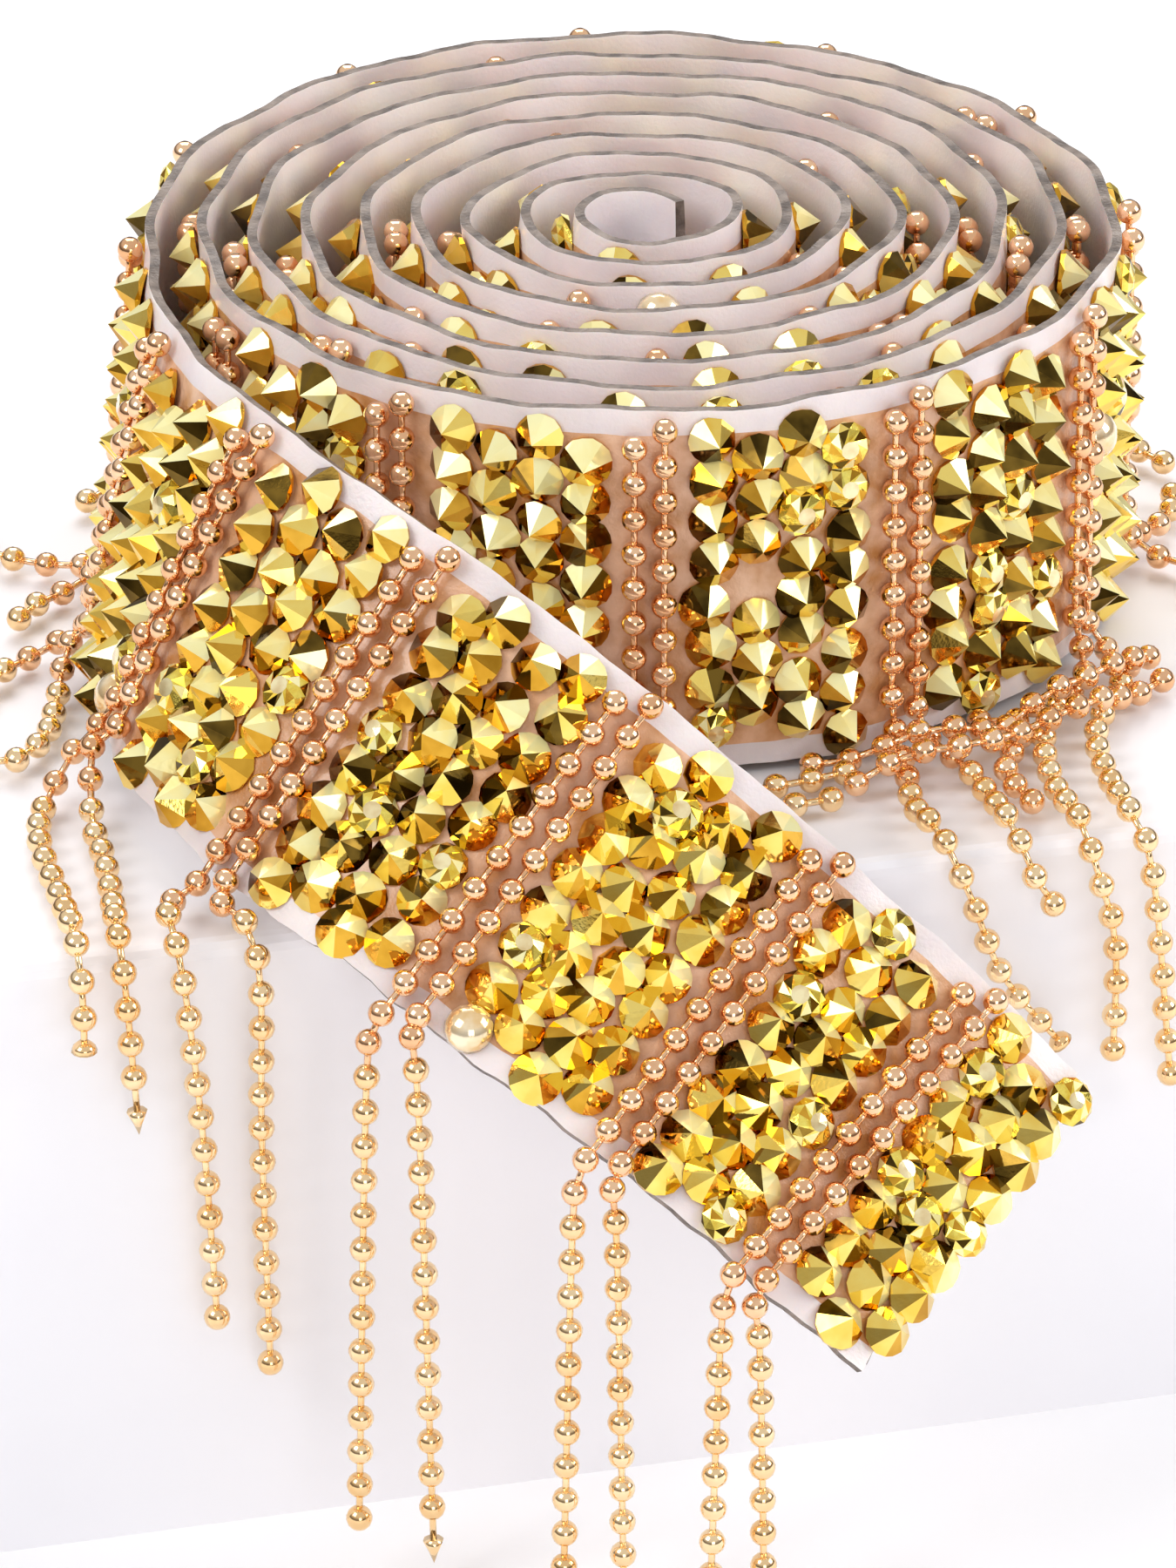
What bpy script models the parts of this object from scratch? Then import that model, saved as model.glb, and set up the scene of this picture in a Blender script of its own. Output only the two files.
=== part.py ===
"""Rhinestone ribbon with a ball chain fringe, loosely rolled on edge on a display block.

The ribbon stands on one edge in a loose spiral, its stones facing out. Its free end leaves the roll at the
left, runs round the roll's front and falls over the front edge of the block, turning as it goes. Pairs of
ball chain are laid across the ribbon and hang off its lower edge. All sizes are in metres, +Z is up, and the
origin is the centre of the block's bottom face, with +X along its front edge and the front at -Y.
"""
import math

import bmesh
import bpy
from mathutils import Vector

MM = 0.001

# Display block
BLOCK_WIDTH = 150 * MM
BLOCK_DEPTH = 128 * MM
BLOCK_HEIGHT = 62 * MM
BLOCK_EDGE_ROUND = 1.5 * MM

# Ribbon film with its glue bed
FILM_WIDTH = 38 * MM
FILM_THICKNESS = 1.2 * MM
FILM_STRIPS = 3

# Roll: turn 0 is at the roll's left, and turns further in are negative
ROLL_X = 9 * MM
FRONT_EDGE_TO_ROLL = 65 * MM
ROLL_TURNED = math.radians(-14.6)
ROLL_LIFT = 0.8 * MM
OUTER_RADIUS = 48.2 * MM
TURN_PITCH = 5.2 * MM
TURN_START = -8.4
TURN_LEAVE = -0.026
SMALL_TURN = 0.002
INNER_SQUEEZE = 0.9
ROUND_FROM = 2 / 3
INNER_SHIFT = 2.5 * MM
WAVE_HEIGHT = 0.35 * MM
WAVES_PER_TURN = 3.3
STEPS_PER_TURN = 24
TAIL_STEPS_PER_SECTION = 5
FINE_STEPS = 4

# Free end of the ribbon, one row for each length of it, in mm and degrees. Bend curls it round the roll,
# twist leans its lower edge outwards, and rise turns it upwards.
TAIL = (
    {"run": 26, "bend": 13, "twist": 8, "rise": 3},
    {"run": 26, "bend": 21, "twist": 12, "rise": 3},
    {"run": 26, "bend": 28, "twist": 19, "rise": -1},
    {"run": 26, "bend": 26, "twist": 19, "rise": 0},
    {"run": 26, "bend": 11, "twist": 8, "rise": 2},
    {"run": 26, "bend": 6, "twist": 3, "rise": -3},
)

# Ball chain, taken as square strands of the beads' width. The clearances are those of a pair's lower end from
# the film's lower edge, and of its strands from the film where they leave it.
CHAIN_WIDTH = 2.2 * MM
CHAIN_DEPTH = 1.8 * MM
PAIR_SPACING = 3.1 * MM
SEAT_GAP = 0.6 * MM
TOP_MARGIN = 2.0 * MM
FOOT_CLEARANCE = 3.2 * MM
EDGE_MARGIN = 0.5 * MM
STEP_OUT = 1.6 * MM
STEP_DOWN = 1.5 * MM
STEP_OVER = 2.2 * MM
SEAT_SPANS = 3
ROUTE_STEP = 4.0 * MM
LAID_HEIGHT = 1.8 * MM

# Rows of paired chain, by the run in mm at which each crosses the ribbon. A row may lean, its lower end
# behind.
ROLL_ROWS = 11
FIRST_ROLL_RUN = 11.5
ROLL_ROW_PITCH = 24.5
TAIL_ROWS = (
    {"row": "tail_1", "top_run": 36, "low_run": 29, "past_edge": False},
    {"row": "tail_2", "top_run": 57, "low_run": 53, "past_edge": False},
    {"row": "tail_3", "top_run": 79, "low_run": 79, "past_edge": True},
    {"row": "tail_4", "top_run": 101, "low_run": 102, "past_edge": True},
    {"row": "tail_5", "top_run": 124, "low_run": 124, "past_edge": True},
    {"row": "tail_6", "top_run": 143, "low_run": 141, "past_edge": True},
)

# Ways of the loose chain ends that lie on the block or hang over its front edge, in mm from the roll's centre
# on the block's top
LAID_ENDS = {
    "roll_1": {
        "ahead": ((-56, 8, 1.8), (-59.5, 6, 1.8), (-63, 2, 1.8)),
        "behind": ((-54.5, 13, 1.8), (-58, 14.5, 1.8), (-62, 18, 1.8), (-64.5, 23, 1.8)),
    },
    "tail_1": {
        "ahead": ((-62.5, -16, 1.9), (-65, -23, 1.9), (-69, -27.5, 1.9), (-73, -26, 1.9), (-73.5, -19, 1.9)),
        "behind": ((-61.5, -5, 1.8), (-66, -8, 1.8), (-70, -13, 1.8)),
    },
    "tail_2": {
        "ahead": ((-64.5, -42, 2.2), (-65, -50, 2.0), (-66, -58, 1.9), (-67, -65, 2.6), (-67, -68, -2),
                  (-66, -68, -18)),
        "behind": ((-67.5, -36, 1.9), (-70, -44, 1.9), (-70.5, -56, 1.9), (-71, -65, 2.6), (-71, -68, -2),
                   (-71, -68, -10)),
    },
    "tail_3": {
        "ahead": ((-55.5, -65, 2.8), (-54.5, -68.5, -2), (-54.5, -68, -19), (-54, -68, -46)),
        "behind": ((-61.5, -61.5, 2.6), (-62, -65.5, 2.8), (-61.5, -68.5, -3), (-60, -68, -19),
                   (-59, -68, -39)),
    },
    "roll_8": {
        "ahead": ((39.5, -34.5, 1.8), (36, -40.5, 1.8), (32, -48, 1.8), (30.5, -57, 1.8), (30, -65, 2.4),
                  (31.5, -68, -3), (34, -68, -27)),
        "behind": ((34, -36.5, 1.8), (29.5, -42, 1.8), (26.5, -49, 1.8), (25, -58, 1.8), (25, -65, 2.4),
                   (26, -68, -2), (28, -68, -10), (28, -68, -23)),
    },
    "roll_9": {
        "ahead": ((18, -51, 1.8), (18.5, -58, 1.8), (18.5, -65, 2.4), (20, -68, -2), (22.5, -68, -6)),
        "behind": ((12.5, -50, 1.8), (11, -58, 1.8), (11.5, -65, 2.4), (14, -68, -4), (17, -68, -12),
                   (23, -68, -20)),
    },
    "roll_10": {
        "ahead": ((-5, -50.5, 1.8), (1, -50.5, 1.8), (7, -49.5, 1.8)),
        "behind": ((-12, -50.5, 1.8), (-10, -55, 1.8), (-4, -55.5, 1.8), (3, -54.5, 1.8), (7, -55.5, 1.8)),
    },
}

# Ends that hang free from the free end's lower edge, in mm: the height of the tip over the block's top, and
# how far it stands from under its root. They bend over the edge in the first few mm.
HANG_BEND = 6
HUNG_ENDS = {
    "tail_4": {"ahead": {"z": -60, "x": 2.5, "y": 0.5}, "behind": {"z": -56, "x": -2.5, "y": 0.0}},
    "tail_5": {"ahead": {"z": -60, "x": 2.0, "y": 1.5}, "behind": {"z": -60, "x": -2.0, "y": 0.0}},
    "tail_6": {"ahead": {"z": -60, "x": 2.0, "y": 2.0}, "behind": {"z": -58, "x": -1.5, "y": 1.0}},
}

# Ends at the roll's back and side spread from the foot over the block. The columns are the distances along
# the foot from the pair's middle and out from the film, in mm.
TRAILING_ENDS = {
    "ahead": (
        {"along": 2.6, "out": 4.4},
        {"along": 5.0, "out": 6.8},
        {"along": 8.0, "out": 8.6},
        {"along": 11.5, "out": 9.6},
    ),
    "behind": (
        {"along": -2.6, "out": 4.6},
        {"along": -4.4, "out": 7.6},
        {"along": -6.4, "out": 10.2},
        {"along": -9.4, "out": 11.2},
    ),
}


def clear_scene():
    for thing in list(bpy.data.objects):
        bpy.data.objects.remove(thing, do_unlink=True)


def make_material(name, colour, roughness, metallic=0.0):
    material = bpy.data.materials.new(name)
    material.use_nodes = True
    shader = material.node_tree.nodes["Principled BSDF"]
    shader.inputs["Base Color"].default_value = (*colour, 1.0)
    shader.inputs["Roughness"].default_value = roughness
    shader.inputs["Metallic"].default_value = metallic
    return material


def add_object(name, bm, material):
    bmesh.ops.recalc_face_normals(bm, faces=bm.faces)
    mesh = bpy.data.meshes.new(name)
    bm.to_mesh(mesh)
    bm.free()
    mesh.materials.append(material)
    thing = bpy.data.objects.new(name, mesh)
    bpy.context.collection.objects.link(thing)
    return thing


def roll_centre():
    return Vector((ROLL_X, FRONT_EDGE_TO_ROLL - BLOCK_DEPTH / 2, BLOCK_HEIGHT))


def on_block(x, y, z):
    """A point given in mm from the roll's centre on the block's top."""
    return roll_centre() + Vector((x, y, z)) * MM


def spiral_point(turn):
    """Middle of the film on the roll, at half its height."""
    grown = (turn - TURN_START) / (TURN_LEAVE - TURN_START)
    radius = OUTER_RADIUS + TURN_PITCH * turn
    radius += WAVE_HEIGHT * grown * math.sin(2 * math.pi * WAVES_PER_TURN * turn)
    squeeze = min(1.0, INNER_SQUEEZE + (1 - INNER_SQUEEZE) * grown / ROUND_FROM)
    angle = math.pi + 2 * math.pi * turn
    x = radius * math.cos(angle)
    y = radius * math.sin(angle) * squeeze + INNER_SHIFT * (1 - grown)
    turned_x = x * math.cos(ROLL_TURNED) - y * math.sin(ROLL_TURNED)
    turned_y = x * math.sin(ROLL_TURNED) + y * math.cos(ROLL_TURNED)
    return roll_centre() + Vector((turned_x, turned_y, FILM_WIDTH / 2 + ROLL_LIFT))


def spiral_frame(turn):
    """Centre, running direction, outward normal and direction to the lower edge."""
    along = (spiral_point(turn + SMALL_TURN) - spiral_point(turn - SMALL_TURN)).normalized()
    down = Vector((0, 0, -1))
    outward = down.cross(along)
    return spiral_point(turn), along, outward, down


def section_value(column, run):
    """A column of the tail's table at a distance along it, eased between the middles of the sections."""
    middles = []
    start = 0.0
    for row in TAIL:
        middles.append(start + row["run"] / 2)
        start += row["run"]
    if run <= middles[0]:
        return TAIL[0][column]
    for index in range(1, len(TAIL)):
        if run <= middles[index]:
            share = (run - middles[index - 1]) / (middles[index] - middles[index - 1])
            return TAIL[index - 1][column] * (1 - share) + TAIL[index][column] * share
    return TAIL[-1][column]


def roll_stations():
    """Stations on the roll from its middle outwards, with runs that end at nought at the free end."""
    stations = []
    count = round((TURN_LEAVE - TURN_START) * STEPS_PER_TURN)
    for index in range(count + 1):
        turn = TURN_START + (TURN_LEAVE - TURN_START) * index / count
        centre, along, outward, down = spiral_frame(turn)
        stations.append({"centre": centre, "along": along, "outward": outward, "down": down, "run": 0.0})
    for index in range(count - 1, -1, -1):
        length = (stations[index + 1]["centre"] - stations[index]["centre"]).length
        stations[index]["run"] = stations[index + 1]["run"] - length
    return stations


def turned(first, second, degrees):
    """Two directions, each turned by an angle in their common plane, the first away from the second."""
    angle = math.radians(degrees)
    return (first * math.cos(angle) - second * math.sin(angle),
            second * math.cos(angle) + first * math.sin(angle))


def tail_stations():
    """Stations on the free end, each found from the one before by the table's bend, twist and rise."""
    stations = []
    centre, along, outward, down = spiral_frame(TURN_LEAVE)
    section = TAIL[0]["run"]
    length = section / (TAIL_STEPS_PER_SECTION * FINE_STEPS)
    for index in range(len(TAIL) * TAIL_STEPS_PER_SECTION * FINE_STEPS):
        middle = (index + 0.5) * length
        started = along
        along, outward = turned(along, outward, section_value("bend", middle) * length / section)
        centre = centre + (along + started) / 2 * length * MM
        outward, down = turned(outward, down, section_value("twist", middle) * length / section)
        along, down = turned(along, down, section_value("rise", middle) * length / section)
        if (index + 1) % FINE_STEPS == 0:
            run = (index + 1) * length * MM
            stations.append({"centre": centre, "along": along, "outward": outward, "down": down, "run": run})
    return stations


def station_at(stations, run):
    """The station at a run, with its centre and directions blended between its neighbours."""
    for first, second in zip(stations, stations[1:]):
        if first["run"] <= run <= second["run"]:
            share = (run - first["run"]) / (second["run"] - first["run"])
            blended = {}
            for key in ("centre", "along", "outward", "down"):
                blended[key] = first[key].lerp(second[key], share)
            for key in ("along", "outward", "down"):
                blended[key].normalize()
            return blended
    return stations[-1]


def film_point(station, across, height):
    """A point of the film: across from -half width at its top edge, height over its middle surface."""
    return station["centre"] + station["down"] * across + station["outward"] * height


def skin_rings(bm, rings):
    """Bridges a run of equal rings of points into a closed tube."""
    verts = [[bm.verts.new(point) for point in ring] for ring in rings]
    count = len(rings[0])
    for first, second in zip(verts, verts[1:]):
        for index in range(count):
            following = (index + 1) % count
            bm.faces.new((first[index], first[following], second[following], second[index]))
    bm.faces.new(list(reversed(verts[0])))
    bm.faces.new(verts[-1])


def make_block():
    bm = bmesh.new()
    bmesh.ops.create_cube(bm, size=1.0)
    for vert in bm.verts:
        vert.co.x *= BLOCK_WIDTH
        vert.co.y *= BLOCK_DEPTH
        vert.co.z = (vert.co.z + 0.5) * BLOCK_HEIGHT
    rounded = [edge for edge in bm.edges if max(vert.co.z for vert in edge.verts) > BLOCK_HEIGHT / 2]
    bmesh.ops.bevel(bm, geom=rounded, offset=BLOCK_EDGE_ROUND, segments=3, affect="EDGES", profile=0.5)
    material = make_material("white_board", (0.93, 0.93, 0.94), 0.55)
    return add_object("display_block", bm, material)


def make_ribbon(stations):
    bm = bmesh.new()
    spots = [(index / FILM_STRIPS - 0.5) * FILM_WIDTH for index in range(FILM_STRIPS + 1)]
    rings = []
    for station in stations:
        outer = [film_point(station, across, FILM_THICKNESS / 2) for across in spots]
        inner = [film_point(station, across, -FILM_THICKNESS / 2) for across in reversed(spots)]
        rings.append(outer + inner)
    skin_rings(bm, rings)
    material = make_material("glue_film", (0.92, 0.88, 0.86), 0.3)
    return add_object("ribbon", bm, material)


def smooth_way(points):
    """Points about one route step apart on a curve through the given ones."""
    ends = [points[0] * 2 - points[1], *points, points[-1] * 2 - points[-2]]
    way = []
    for before, start, stop, after in zip(ends, ends[1:], ends[2:], ends[3:]):
        count = max(1, round((stop - start).length / ROUTE_STEP))
        for index in range(count):
            share = index / count
            way.append(0.5 * (2 * start + (stop - before) * share
                              + (2 * before - 5 * start + 4 * stop - after) * share ** 2
                              + (3 * start - before - 3 * stop + after) * share ** 3))
    way.append(points[-1])
    return way


def grow_strand(bm, root, way):
    """Extrudes a strand from its four root vertices along a way, keeping it from twisting."""
    side = (root[1].co - root[0].co).normalized()
    ring = root
    for index, point in enumerate(way):
        before = way[index - 1] if index else sum((vert.co for vert in root), Vector()) / 4
        after = way[min(index + 1, len(way) - 1)]
        forward = (after - before).normalized()
        side = (side - forward * side.dot(forward)).normalized()
        up = side.cross(forward)
        corners = ((-1, 1), (1, 1), (1, -1), (-1, -1))
        following = [bm.verts.new(point + side * (CHAIN_WIDTH / 2 * across) + up * (CHAIN_DEPTH / 2 * rise))
                     for across, rise in corners]
        for corner in range(4):
            beside = (corner + 1) % 4
            bm.faces.new((ring[corner], ring[beside], following[beside], following[corner]))
        ring = following
    bm.faces.new(ring)


def laid_way(name, strand):
    return [on_block(*point) for point in LAID_ENDS[name][strand]]


def hung_way(name, strand, root):
    end = HUNG_ENDS[name][strand]
    below = root + Vector((end["x"] / 2, end["y"] / 2, -HANG_BEND)) * MM
    tip = Vector((root.x + end["x"] * MM, root.y + end["y"] * MM, BLOCK_HEIGHT + end["z"] * MM))
    return [below, tip]


def trailing_way(stations, run, strand):
    """Way of an end that turns at the roll's foot and lies on the block."""
    points = []
    for place in TRAILING_ENDS[strand]:
        station = station_at(stations, run + place["along"] * MM)
        point = film_point(station, FILM_WIDTH / 2, FILM_THICKNESS / 2 + place["out"] * MM)
        point.z = BLOCK_HEIGHT + LAID_HEIGHT
        points.append(point)
    return points


def make_seat(bm, stations, top_run, low_run, bottom):
    """The pair as one strip across the ribbon. Gives its last six vertices, the three near the film first."""
    near_height = FILM_THICKNESS / 2 + SEAT_GAP
    top = TOP_MARGIN - FILM_WIDTH / 2
    half = (PAIR_SPACING + CHAIN_WIDTH) / 2
    rings = []
    for index in range(SEAT_SPANS + 1):
        across = top + (bottom - top) * index / SEAT_SPANS
        share = across / FILM_WIDTH + 0.5
        run = (top_run * (1 - share) + low_run * share) * MM
        beside = [station_at(stations, run + step * half) for step in (1, 0, -1)]
        ring = [film_point(station, across, near_height) for station in beside]
        ring += [film_point(station, across, near_height + CHAIN_DEPTH) for station in beside]
        rings.append([bm.verts.new(point) for point in ring])
    outline = (0, 1, 2, 5, 4, 3)
    for first, second in zip(rings, rings[1:]):
        for start, stop in zip(outline, outline[1:] + outline[:1]):
            bm.faces.new((first[start], first[stop], second[stop], second[start]))
    cap = rings[0]
    bm.faces.new((cap[0], cap[1], cap[4], cap[3]))
    bm.faces.new((cap[1], cap[2], cap[5], cap[4]))
    return rings[-1]


def make_chain_pair(stations, name, top_run, low_run, past_edge, material):
    """A pair of chains seated across the ribbon, with both ends running free from its lower edge."""
    bm = bmesh.new()
    bottom = FILM_WIDTH / 2 - (EDGE_MARGIN if past_edge else FOOT_CLEARANCE)
    last = make_seat(bm, stations, top_run, low_run, bottom)
    roots = {"ahead": (last[3], last[4], last[1], last[0]), "behind": (last[4], last[5], last[2], last[1])}
    leads = {"ahead": PAIR_SPACING / 2, "behind": -PAIR_SPACING / 2}
    middle_height = FILM_THICKNESS / 2 + SEAT_GAP + CHAIN_DEPTH / 2
    for strand, root in roots.items():
        station = station_at(stations, low_run * MM + leads[strand])
        if past_edge:
            start = film_point(station, bottom + STEP_OVER, middle_height)
        else:
            start = film_point(station, bottom + STEP_DOWN, middle_height + STEP_OUT)
        if name in LAID_ENDS:
            way = laid_way(name, strand)
        elif name in HUNG_ENDS:
            way = hung_way(name, strand, start)
        else:
            way = trailing_way(stations, low_run * MM, strand)
        grow_strand(bm, root, smooth_way([start, *way]))
    return add_object("chain_" + name, bm, material)


def make_chains(stations):
    material = make_material("copper_chain", (0.72, 0.45, 0.33), 0.25, 1.0)
    for index in range(ROLL_ROWS):
        run = FIRST_ROLL_RUN - ROLL_ROW_PITCH * index
        make_chain_pair(stations, f"roll_{index + 1}", run, run, False, material)
    for row in TAIL_ROWS:
        make_chain_pair(stations, row["row"], row["top_run"], row["low_run"], row["past_edge"], material)


def main():
    clear_scene()
    stations = roll_stations() + tail_stations()
    make_block()
    make_ribbon(stations)
    make_chains(stations)


main()
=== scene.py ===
"""Looks of the rhinestone ribbon: its glue film, stones, ball chains, display block and studio.

Every size is in metres, +Z is up, and the origin is the centre of the block's bottom face. The ribbon's
path and the chains' ways are worked out from the same named sizes as the solids that they dress.
"""
from __future__ import annotations

import logging
import math
import random
from dataclasses import dataclass, field
from enum import Enum, IntEnum
from typing import NamedTuple

import bpy
import numpy as np
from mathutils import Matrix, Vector

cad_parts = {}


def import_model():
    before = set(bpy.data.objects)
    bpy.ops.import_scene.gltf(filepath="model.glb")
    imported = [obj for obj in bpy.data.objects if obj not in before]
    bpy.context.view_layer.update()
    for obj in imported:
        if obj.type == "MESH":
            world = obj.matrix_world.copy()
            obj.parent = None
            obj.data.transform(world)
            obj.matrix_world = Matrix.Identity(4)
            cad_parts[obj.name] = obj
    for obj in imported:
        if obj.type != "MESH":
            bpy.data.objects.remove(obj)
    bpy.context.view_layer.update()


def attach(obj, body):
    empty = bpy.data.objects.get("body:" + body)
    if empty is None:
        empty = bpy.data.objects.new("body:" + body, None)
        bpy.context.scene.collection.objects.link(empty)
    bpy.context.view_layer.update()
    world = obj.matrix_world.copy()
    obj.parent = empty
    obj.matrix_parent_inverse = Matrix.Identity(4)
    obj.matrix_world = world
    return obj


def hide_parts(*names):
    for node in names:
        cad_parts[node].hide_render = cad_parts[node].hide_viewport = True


MM = 0.001
LOG = logging.getLogger("rhinestone_ribbon")
Triple = tuple[float, float, float]


class StoneCut(Enum):
    """The shapes of stone that are set on the ribbon."""

    CONE = "cone"
    BRILLIANT = "brilliant"
    PEARL = "pearl"


class StrandEnd(Enum):
    """What a chain's loose end shows after its last whole bead."""

    BEAD = "bead"
    CUP = "half bead"
    SPIKE = "spike"


FilmSlot = IntEnum("FilmSlot", "GLUE FILM EDGE", start=0)
# Stone slots: gold, crystal and pearl are the stones' own colours. The rest are painted light: a pale cream
# painted highlight, a deeper gold painted shade, a near-black painted dark reflection, and a paler crystal
# table that is a painted highlight.
StoneSlot = IntEnum("StoneSlot", "CREAM GOLD AMBER DARK CRYSTAL TABLE PEARL", start=0)
ChainSlot = IntEnum("ChainSlot", "COPPER BRASS", start=0)
# Letters of the facet tables: c stands for a painted highlight, g for the stone's own gold, a for painted
# shade in deeper gold, and d for a painted dark reflection.
FACET_TONES = {"c": StoneSlot.CREAM, "g": StoneSlot.GOLD, "a": StoneSlot.AMBER, "d": StoneSlot.DARK}


class Station(NamedTuple):
    """A place on the ribbon: its centre, and its running, outward and downward directions."""

    centre: np.ndarray
    along: np.ndarray
    outward: np.ndarray
    down: np.ndarray

    def point(self, across: float, height: float) -> np.ndarray:
        """Gives the point at a distance across the film and a height over its middle surface."""
        return self.centre + self.down * across + self.outward * height


class TailSection(NamedTuple):
    """A length of the ribbon's free end, in mm and degrees."""

    run: float
    bend: float
    twist: float
    rise: float


class ChainRow(NamedTuple):
    """A pair of chains across the ribbon, by the runs of its two ends in mm."""

    name: str
    top_run: float
    low_run: float
    past_edge: bool


class Tip(NamedTuple):
    """Tip of a hanging strand, in mm: height over the block's top, and drift from under its root."""

    height: float
    x: float
    y: float


# Waves of an uneven edge: pace per mm, shift with the edge's seed, and height.
EDGE_WAVES = ((0.21, 3.1, 0.35), (0.57, 7.7, 0.3), (1.31, 1.9, 0.2))
NICK_PACE, NICK_SHIFT, NICK_DEPTH = 0.093, 5.3, 9.0
NICK_LEVEL = 0.93


def unit(vectors: np.ndarray) -> np.ndarray:
    """Scales vectors to length one.

    Args:
        vectors: An array whose last axis holds the components.

    Returns:
        The array of unit vectors.
    """
    return vectors / np.linalg.norm(vectors, axis=-1, keepdims=True)


def ripple(run: float, seed: float) -> float:
    """Gives an uneven wave along a cut edge, mostly between -1 and 1.

    Args:
        run: Distance along the edge in metres.
        seed: A number that sets one edge apart from another.

    Returns:
        The wave's height at that run.
    """
    step = run / MM
    height = sum(high * math.sin(step * pace + seed * shift) for pace, shift, high in EDGE_WAVES)
    nick = max(0.0, math.sin(step * NICK_PACE + seed * NICK_SHIFT) - NICK_LEVEL)
    return height - nick * NICK_DEPTH


@dataclass(frozen=True)
class Finish:
    """A surface's look: two shades that drift into each other, gloss, and a fine unevenness."""

    name: str
    light: Triple
    dark: Triple
    roughness: float
    metallic: float = 0.0
    patch: float = 300.0
    patch_detail: float = 3.0
    dark_until: float = 0.35
    light_from: float = 0.62
    grain: float = 2500.0
    relief: float = 0.1
    relief_depth: float = 0.2 * MM
    coat: float = 0.0
    coat_roughness: float = 0.08
    glow: float = 0.0
    glow_spread: Triple = (1.0, 0.6, 0.4)
    glow_depth: float = 1.5 * MM

    @staticmethod
    def _noise(tree: bpy.types.NodeTree, scale: float) -> bpy.types.Node:
        """Adds noise that is fixed to the object.

        Args:
            tree: The material's node tree.
            scale: The noise's scale.

        Returns:
            The noise node.
        """
        place = tree.nodes.new("ShaderNodeTexCoord")
        noise = tree.nodes.new("ShaderNodeTexNoise")
        noise.inputs["Scale"].default_value = scale
        tree.links.new(place.outputs["Object"], noise.inputs["Vector"])
        return noise

    def make(self) -> bpy.types.Material:
        """Builds the material's nodes.

        Returns:
            The new material.
        """
        material = bpy.data.materials.new(self.name)
        material.use_nodes = True
        tree = material.node_tree
        shader = tree.nodes["Principled BSDF"]
        patches = self._noise(tree, self.patch)
        patches.inputs["Detail"].default_value = self.patch_detail
        shades = tree.nodes.new("ShaderNodeValToRGB")
        ends = ((self.dark_until, self.dark), (self.light_from, self.light))
        for element, (position, shade) in zip(shades.color_ramp.elements, ends):
            element.position = position
            element.color = (*shade, 1.0)
        bump = tree.nodes.new("ShaderNodeBump")
        bump.inputs["Strength"].default_value = self.relief
        bump.inputs["Distance"].default_value = self.relief_depth
        grains = self._noise(tree, self.grain)
        tree.links.new(patches.outputs["Fac"], shades.inputs["Fac"])
        tree.links.new(shades.outputs["Color"], shader.inputs["Base Color"])
        tree.links.new(grains.outputs["Fac"], bump.inputs["Height"])
        tree.links.new(bump.outputs["Normal"], shader.inputs["Normal"])
        settings = {
            "Roughness": self.roughness,
            "Metallic": self.metallic,
            "Coat Weight": self.coat,
            "Coat Roughness": self.coat_roughness,
            "Subsurface Weight": self.glow,
            "Subsurface Radius": self.glow_spread,
            "Subsurface Scale": self.glow_depth,
        }
        for socket, value in settings.items():
            shader.inputs[socket].default_value = value
        return material


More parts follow.
